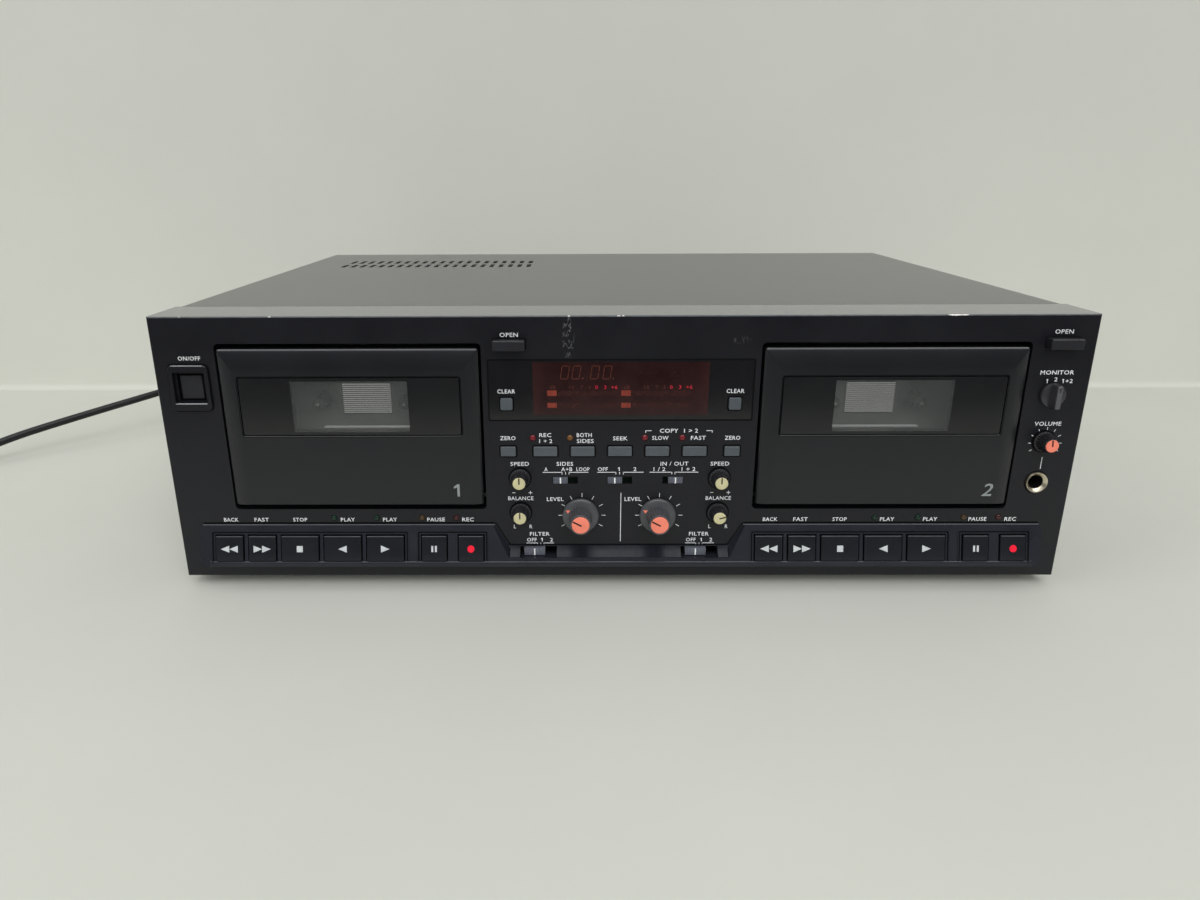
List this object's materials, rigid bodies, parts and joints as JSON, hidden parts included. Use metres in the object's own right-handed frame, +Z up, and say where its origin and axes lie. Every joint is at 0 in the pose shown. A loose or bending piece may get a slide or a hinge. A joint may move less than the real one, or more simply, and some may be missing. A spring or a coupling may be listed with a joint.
{
  "type": "double cassette deck",
  "caption": "Low wide case with a black front panel, twin cassette doors that tilt open, transport keys, knobs, slide switches, a smoked display and a mains lead.",
  "frame": {"origin": "on the surface that the deck stands on, under the middle of its box without the lead", "axes": "+X to the right seen from the front, +Y to the rear, +Z up; the front panel faces -Y"},
  "size_m": [0.804, 0.4112, 0.138],
  "materials": {
    "panel_plastic": "satin black moulding",
    "bezel_plastic": "satin dark grey moulding",
    "key_plastic": "fine-grained black",
    "button_plastic": "mid grey",
    "knob_plastic": "dark grey with coloured cap",
    "display_tint": "smoked red acrylic",
    "lamp_lens": "coloured lens",
    "cover_paint": "satin grey-black paint",
    "tray_steel": "painted sheet",
    "foot_rubber": "matt",
    "screw_steel": "blackened",
    "socket_brass": "nickel over brass",
    "mechanism_steel": "plated plate",
    "board_laminate": "glass laminate",
    "transformer_iron": "laminated core",
    "cord_vinyl": "smooth vinyl",
    "spindle_plastic": "pale moulding"
  },
  "bodies": {
    "deck_case": {"front_panel": "panel_plastic", "transport_bezel": "bezel_plastic", "display_window": "display_tint", "indicator_lamps": "lamp_lens", "top_cover": "cover_paint", "chassis_tray": "tray_steel", "rubber_feet": "foot_rubber", "cover_screws": "screw_steel", "jack_sockets": "socket_brass", "tape_mechanisms": "mechanism_steel", "circuit_boards": "board_laminate", "power_transformer": "transformer_iron", "cord_stretch": "cord_vinyl", "cord_coil": "cord_vinyl", "cord_ends": "cord_vinyl"},
    "cassette_door_1": {"cassette_door_1": "panel_plastic"},
    "cassette_door_2": {"cassette_door_2": "panel_plastic"},
    "input_knob_1": {"input_knob_1": "knob_plastic"},
    "input_knob_2": {"input_knob_2": "knob_plastic"},
    "pitch_knob_1": {"pitch_knob_1": "knob_plastic"},
    "pitch_knob_2": {"pitch_knob_2": "knob_plastic"},
    "balance_knob_1": {"balance_knob_1": "knob_plastic"},
    "balance_knob_2": {"balance_knob_2": "knob_plastic"},
    "phones_selector": {"phones_selector": "knob_plastic"},
    "phones_level_knob": {"phones_level_knob": "knob_plastic"},
    "power_button": {"power_button": "key_plastic"},
    "eject_button_1": {"eject_button_1": "button_plastic"},
    "eject_button_2": {"eject_button_2": "button_plastic"},
    "reverse_mode_switch": {"reverse_mode_switch": "button_plastic"},
    "link_mode_switch": {"link_mode_switch": "button_plastic"},
    "output_mode_switch": {"output_mode_switch": "button_plastic"},
    "noise_switch_1": {"noise_switch_1": "button_plastic"},
    "noise_switch_2": {"noise_switch_2": "button_plastic"},
    "rewind_key_1": {"rewind_key_1": "key_plastic"},
    "forward_key_1": {"forward_key_1": "key_plastic"},
    "stop_key_1": {"stop_key_1": "key_plastic"},
    "reverse_play_key_1": {"reverse_play_key_1": "key_plastic"},
    "play_key_1": {"play_key_1": "key_plastic"},
    "pause_key_1": {"pause_key_1": "key_plastic"},
    "record_key_1": {"record_key_1": "key_plastic"},
    "rewind_key_2": {"rewind_key_2": "key_plastic"},
    "forward_key_2": {"forward_key_2": "key_plastic"},
    "stop_key_2": {"stop_key_2": "key_plastic"},
    "reverse_play_key_2": {"reverse_play_key_2": "key_plastic"},
    "play_key_2": {"play_key_2": "key_plastic"},
    "pause_key_2": {"pause_key_2": "key_plastic"},
    "record_key_2": {"record_key_2": "key_plastic"},
    "return_zero_button_1": {"return_zero_button_1": "button_plastic"},
    "dual_record_button": {"dual_record_button": "button_plastic"},
    "sync_reverse_button": {"sync_reverse_button": "button_plastic"},
    "program_search_button": {"program_search_button": "button_plastic"},
    "dub_normal_button": {"dub_normal_button": "button_plastic"},
    "dub_fast_button": {"dub_fast_button": "button_plastic"},
    "return_zero_button_2": {"return_zero_button_2": "button_plastic"},
    "reset_button_1": {"reset_button_1": "button_plastic"},
    "reset_button_2": {"reset_button_2": "button_plastic"},
    "supply_spindle_1": {"supply_spindle_1": "spindle_plastic"},
    "takeup_spindle_1": {"takeup_spindle_1": "spindle_plastic"},
    "supply_spindle_2": {"supply_spindle_2": "spindle_plastic"},
    "takeup_spindle_2": {"takeup_spindle_2": "spindle_plastic"}
  },
  "joints": [
    {"name": "door_1_open", "type": "hinge", "parent": "deck_case", "child": "cassette_door_1", "pos_m": [-0.1275, -0.1462, 0.0484], "axis": [1, 0, 0], "range_deg": [0, 25]},
    {"name": "door_2_open", "type": "hinge", "parent": "deck_case", "child": "cassette_door_2", "pos_m": [0.1275, -0.1462, 0.0484], "axis": [1, 0, 0], "range_deg": [0, 25]},
    {"name": "input_1_turn", "type": "hinge", "parent": "deck_case", "child": "input_knob_1", "pos_m": [-0.019, -0.1508, 0.0392], "axis": [0, 1, 0], "range_deg": [-83, 217]},
    {"name": "input_2_turn", "type": "hinge", "parent": "deck_case", "child": "input_knob_2", "pos_m": [0.019, -0.1508, 0.0392], "axis": [0, 1, 0], "range_deg": [-83, 217]},
    {"name": "pitch_1_turn", "type": "hinge", "parent": "deck_case", "child": "pitch_knob_1", "pos_m": [-0.0485, -0.1508, 0.0587], "axis": [0, 1, 0], "range_deg": [-140, 140]},
    {"name": "pitch_2_turn", "type": "hinge", "parent": "deck_case", "child": "pitch_knob_2", "pos_m": [0.0485, -0.1508, 0.0587], "axis": [0, 1, 0], "range_deg": [-140, 140]},
    {"name": "balance_1_turn", "type": "hinge", "parent": "deck_case", "child": "balance_knob_1", "pos_m": [-0.0485, -0.1508, 0.0407], "axis": [0, 1, 0], "range_deg": [-140, 140]},
    {"name": "balance_2_turn", "type": "hinge", "parent": "deck_case", "child": "balance_knob_2", "pos_m": [0.0485, -0.1508, 0.0407], "axis": [0, 1, 0], "range_deg": [-215, 65]},
    {"name": "selector_turn", "type": "hinge", "parent": "deck_case", "child": "phones_selector", "pos_m": [0.2024, -0.1508, 0.1], "axis": [0, 1, 0], "range_deg": [-30, 30]},
    {"name": "phones_level_turn", "type": "hinge", "parent": "deck_case", "child": "phones_level_knob", "pos_m": [0.2024, -0.1508, 0.0772], "axis": [0, 1, 0], "range_deg": [-150, 150]},
    {"name": "power_press", "type": "slide", "parent": "deck_case", "child": "power_button", "axis": [0, 1, 0], "range_m": [0, 0.003], "stiffness_N_per_m": 600},
    {"name": "eject_1_press", "type": "slide", "parent": "deck_case", "child": "eject_button_1", "axis": [0, 1, 0], "range_m": [0, 0.003], "stiffness_N_per_m": 600},
    {"name": "eject_2_press", "type": "slide", "parent": "deck_case", "child": "eject_button_2", "axis": [0, 1, 0], "range_m": [0, 0.003], "stiffness_N_per_m": 600},
    {"name": "reverse_mode_slide", "type": "slide", "parent": "deck_case", "child": "reverse_mode_switch", "axis": [1, 0, 0], "range_m": [0, 0.0046]},
    {"name": "link_mode_slide", "type": "slide", "parent": "deck_case", "child": "link_mode_switch", "axis": [1, 0, 0], "range_m": [0, 0.0046]},
    {"name": "output_mode_slide", "type": "slide", "parent": "deck_case", "child": "output_mode_switch", "axis": [1, 0, 0], "range_m": [-0.0025, 0]},
    {"name": "noise_1_slide", "type": "slide", "parent": "deck_case", "child": "noise_switch_1", "axis": [1, 0, 0], "range_m": [0, 0.0038]},
    {"name": "noise_2_slide", "type": "slide", "parent": "deck_case", "child": "noise_switch_2", "axis": [1, 0, 0], "range_m": [0, 0.0038]},
    {"name": "rewind_key_1_press", "type": "slide", "parent": "deck_case", "child": "rewind_key_1", "axis": [0, 1, 0], "range_m": [0, 0.002], "stiffness_N_per_m": 700},
    {"name": "forward_key_1_press", "type": "slide", "parent": "deck_case", "child": "forward_key_1", "axis": [0, 1, 0], "range_m": [0, 0.002], "stiffness_N_per_m": 700},
    {"name": "stop_key_1_press", "type": "slide", "parent": "deck_case", "child": "stop_key_1", "axis": [0, 1, 0], "range_m": [0, 0.002], "stiffness_N_per_m": 700},
    {"name": "reverse_play_key_1_press", "type": "slide", "parent": "deck_case", "child": "reverse_play_key_1", "axis": [0, 1, 0], "range_m": [0, 0.002], "stiffness_N_per_m": 700},
    {"name": "play_key_1_press", "type": "slide", "parent": "deck_case", "child": "play_key_1", "axis": [0, 1, 0], "range_m": [0, 0.002], "stiffness_N_per_m": 700},
    {"name": "pause_key_1_press", "type": "slide", "parent": "deck_case", "child": "pause_key_1", "axis": [0, 1, 0], "range_m": [0, 0.002], "stiffness_N_per_m": 700},
    {"name": "record_key_1_press", "type": "slide", "parent": "deck_case", "child": "record_key_1", "axis": [0, 1, 0], "range_m": [0, 0.002], "stiffness_N_per_m": 700},
    {"name": "rewind_key_2_press", "type": "slide", "parent": "deck_case", "child": "rewind_key_2", "axis": [0, 1, 0], "range_m": [0, 0.002], "stiffness_N_per_m": 700},
    {"name": "forward_key_2_press", "type": "slide", "parent": "deck_case", "child": "forward_key_2", "axis": [0, 1, 0], "range_m": [0, 0.002], "stiffness_N_per_m": 700},
    {"name": "stop_key_2_press", "type": "slide", "parent": "deck_case", "child": "stop_key_2", "axis": [0, 1, 0], "range_m": [0, 0.002], "stiffness_N_per_m": 700},
    {"name": "reverse_play_key_2_press", "type": "slide", "parent": "deck_case", "child": "reverse_play_key_2", "axis": [0, 1, 0], "range_m": [0, 0.002], "stiffness_N_per_m": 700},
    {"name": "play_key_2_press", "type": "slide", "parent": "deck_case", "child": "play_key_2", "axis": [0, 1, 0], "range_m": [0, 0.002], "stiffness_N_per_m": 700},
    {"name": "pause_key_2_press", "type": "slide", "parent": "deck_case", "child": "pause_key_2", "axis": [0, 1, 0], "range_m": [0, 0.002], "stiffness_N_per_m": 700},
    {"name": "record_key_2_press", "type": "slide", "parent": "deck_case", "child": "record_key_2", "axis": [0, 1, 0], "range_m": [0, 0.002], "stiffness_N_per_m": 700},
    {"name": "return_zero_button_1_press", "type": "slide", "parent": "deck_case", "child": "return_zero_button_1", "axis": [0, 1, 0], "range_m": [0, 0.001], "stiffness_N_per_m": 1000},
    {"name": "dual_record_button_press", "type": "slide", "parent": "deck_case", "child": "dual_record_button", "axis": [0, 1, 0], "range_m": [0, 0.001], "stiffness_N_per_m": 1000},
    {"name": "sync_reverse_button_press", "type": "slide", "parent": "deck_case", "child": "sync_reverse_button", "axis": [0, 1, 0], "range_m": [0, 0.001], "stiffness_N_per_m": 1000},
    {"name": "program_search_button_press", "type": "slide", "parent": "deck_case", "child": "program_search_button", "axis": [0, 1, 0], "range_m": [0, 0.001], "stiffness_N_per_m": 1000},
    {"name": "dub_normal_button_press", "type": "slide", "parent": "deck_case", "child": "dub_normal_button", "axis": [0, 1, 0], "range_m": [0, 0.001], "stiffness_N_per_m": 1000},
    {"name": "dub_fast_button_press", "type": "slide", "parent": "deck_case", "child": "dub_fast_button", "axis": [0, 1, 0], "range_m": [0, 0.001], "stiffness_N_per_m": 1000},
    {"name": "return_zero_button_2_press", "type": "slide", "parent": "deck_case", "child": "return_zero_button_2", "axis": [0, 1, 0], "range_m": [0, 0.001], "stiffness_N_per_m": 1000},
    {"name": "reset_1_press", "type": "slide", "parent": "deck_case", "child": "reset_button_1", "axis": [0, 1, 0], "range_m": [0, 0.001], "stiffness_N_per_m": 1000},
    {"name": "reset_2_press", "type": "slide", "parent": "deck_case", "child": "reset_button_2", "axis": [0, 1, 0], "range_m": [0, 0.001], "stiffness_N_per_m": 1000},
    {"name": "supply_1_spin", "type": "hinge", "parent": "deck_case", "child": "supply_spindle_1", "pos_m": [-0.14875, -0.1288, 0.0917], "axis": [0, 1, 0], "continuous": true},
    {"name": "takeup_1_spin", "type": "hinge", "parent": "deck_case", "child": "takeup_spindle_1", "pos_m": [-0.10625, -0.1288, 0.0917], "axis": [0, 1, 0], "continuous": true},
    {"name": "supply_2_spin", "type": "hinge", "parent": "deck_case", "child": "supply_spindle_2", "pos_m": [0.10625, -0.1288, 0.0917], "axis": [0, 1, 0], "continuous": true},
    {"name": "takeup_2_spin", "type": "hinge", "parent": "deck_case", "child": "takeup_spindle_2", "pos_m": [0.14875, -0.1288, 0.0917], "axis": [0, 1, 0], "continuous": true}
  ]
}
